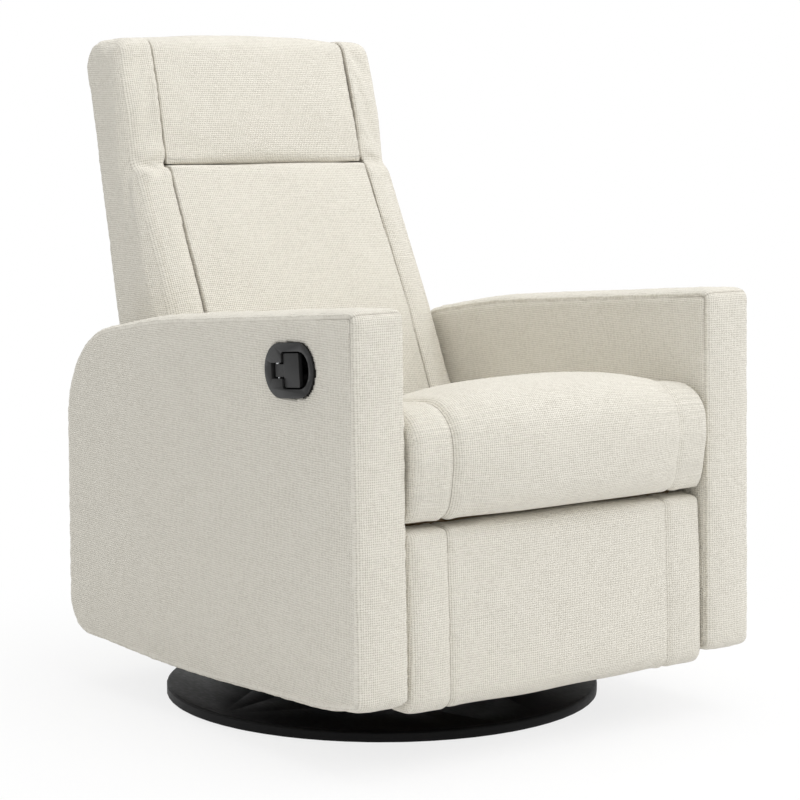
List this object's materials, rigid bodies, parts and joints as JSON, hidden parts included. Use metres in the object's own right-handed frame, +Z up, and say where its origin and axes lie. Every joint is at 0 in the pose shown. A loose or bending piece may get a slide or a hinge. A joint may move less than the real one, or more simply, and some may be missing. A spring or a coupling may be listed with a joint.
{
  "type": "swivel glider recliner",
  "caption": "Upholstered recliner with a padded back, seat, arms and fold-out footrest, gliding on hanging links over a round swivel floor plate, with a release paddle in one arm.",
  "frame": {"origin": "where the swivel axis meets the floor", "axes": "+Z up, the chair faces -Y, +X to the sitter's left; the release paddle is in the arm at -X"},
  "size_m": [0.7515, 0.9608, 1.0486],
  "materials": {
    "upholstery": "woven cloth",
    "black_board": "satin black lacquer",
    "glide_plastic": "matt",
    "black_steel": "black powder coat",
    "zinc_steel": "zinc plated",
    "spring_steel": "oiled",
    "nylon": "matt",
    "plywood": "sanded",
    "webbing": "elastic webbing",
    "handle_plastic": "moulded, satin",
    "paddle_plastic": "moulded, fine grain",
    "cable_sheath": "smooth"
  },
  "bodies": {
    "base": {"base_disc": "black_board", "floor_glides": "glide_plastic", "lower_race": "zinc_steel", "race_screws": "zinc_steel", "bearing_balls": "zinc_steel", "ball_cage": "nylon", "king_pin": "zinc_steel"},
    "turntable": {"upper_race": "zinc_steel", "swivel_plate": "black_steel", "plate_bolts": "zinc_steel", "cross_tubes": "black_steel", "stands": "black_steel", "hang_pins": "zinc_steel"},
    "front_hangers": {"front_links": "black_steel"},
    "rear_hangers": {"rear_links": "black_steel"},
    "chair": {"glide_rails": "black_steel", "rail_pins": "zinc_steel", "seat_side_left": "plywood", "seat_side_right": "plywood", "seat_front_rail": "plywood", "seat_rear_rail": "plywood", "hinge_rail": "plywood", "seat_springs": "spring_steel", "frame_bolts": "zinc_steel", "arm_cover_left": "upholstery", "arm_cover_right": "upholstery", "arm_frame_left": "plywood", "arm_frame_right": "plywood", "seat_cushion": "upholstery", "rear_skirt": "upholstery", "hinge_brackets": "black_steel", "hinge_pins": "zinc_steel", "bar_pivots": "zinc_steel", "handle_cup": "handle_plastic", "paddle_pin": "zinc_steel", "release_cable": "cable_sheath", "latch_pin": "zinc_steel"},
    "backrest": {"back_post_left": "plywood", "back_post_right": "plywood", "back_rails": "plywood", "back_webbing": "webbing", "headrest_cushion": "upholstery", "lumbar_cushion": "upholstery", "bolster_left": "upholstery", "bolster_right": "upholstery", "back_cover": "upholstery"},
    "drive_arms": {"drive_tube": "black_steel", "drive_bars": "black_steel", "knee_pins": "zinc_steel"},
    "reach_arms": {"reach_bars": "black_steel"},
    "footrest": {"foot_brackets": "black_steel", "foot_pins": "zinc_steel", "footrest_board": "plywood", "footrest_pad": "upholstery"},
    "paddle": {"release_paddle": "paddle_plastic", "paddle_spring": "zinc_steel"},
    "latch": {"latch_lever": "zinc_steel"}
  },
  "joints": [
    {"name": "swivel", "type": "hinge", "parent": "base", "child": "turntable", "pos_m": [0, 0, 0], "axis": [0, 0, 1], "continuous": true},
    {"name": "glide", "type": "hinge", "parent": "turntable", "child": "front_hangers", "pos_m": [0, -0.13, 0.225], "axis": [1, 0, 0], "range_deg": [-22, 22]},
    {"name": "chair_level", "type": "hinge", "parent": "front_hangers", "child": "chair", "pos_m": [0, -0.13, 0.115], "axis": [1, 0, 0], "range_deg": [-22, 22]},
    {"name": "rear_swing", "type": "hinge", "parent": "turntable", "child": "rear_hangers", "pos_m": [0, 0.13, 0.225], "axis": [1, 0, 0], "range_deg": [-22, 22]},
    {"name": "recline", "type": "hinge", "parent": "chair", "child": "backrest", "pos_m": [0, 0.27359, 0.362], "axis": [-1, 0, 0], "range_deg": [0, 35]},
    {"name": "footrest_drive", "type": "hinge", "parent": "chair", "child": "drive_arms", "pos_m": [0, -0.262, 0.303], "axis": [-1, 0, 0], "range_deg": [0, 51.64]},
    {"name": "footrest_reach", "type": "hinge", "parent": "drive_arms", "child": "reach_arms", "pos_m": [0, -0.29707, 0.11118], "axis": [-1, 0, 0], "range_deg": [-103.38, 0]},
    {"name": "footrest_tilt", "type": "hinge", "parent": "reach_arms", "child": "footrest", "pos_m": [0, -0.352, 0.29828], "axis": [-1, 0, 0], "range_deg": [0, 141.74]},
    {"name": "paddle_pull", "type": "hinge", "parent": "chair", "child": "paddle", "pos_m": [-0.369, -0.25566, 0.56161], "axis": [0, -0.0941, -0.9956], "range_deg": [0, 28], "stiffness_Nm_per_rad": 0.4, "springref_deg": -20.05},
    {"name": "latch_turn", "type": "hinge", "parent": "chair", "child": "latch", "pos_m": [0, -0.215, 0.19], "axis": [1, 0, 0], "range_deg": [0, 12.1]}
  ],
  "couplings": [
    {"joint": "chair_level", "follows": "glide", "ratio": -1},
    {"joint": "rear_swing", "follows": "glide", "ratio": 1},
    {"joint": "footrest_reach", "follows": "footrest_drive", "ratio": -2},
    {"joint": "footrest_tilt", "follows": "footrest_drive", "ratio": 2.7429},
    {"joint": "latch_turn", "follows": "paddle_pull", "ratio": 0.43}
  ]
}
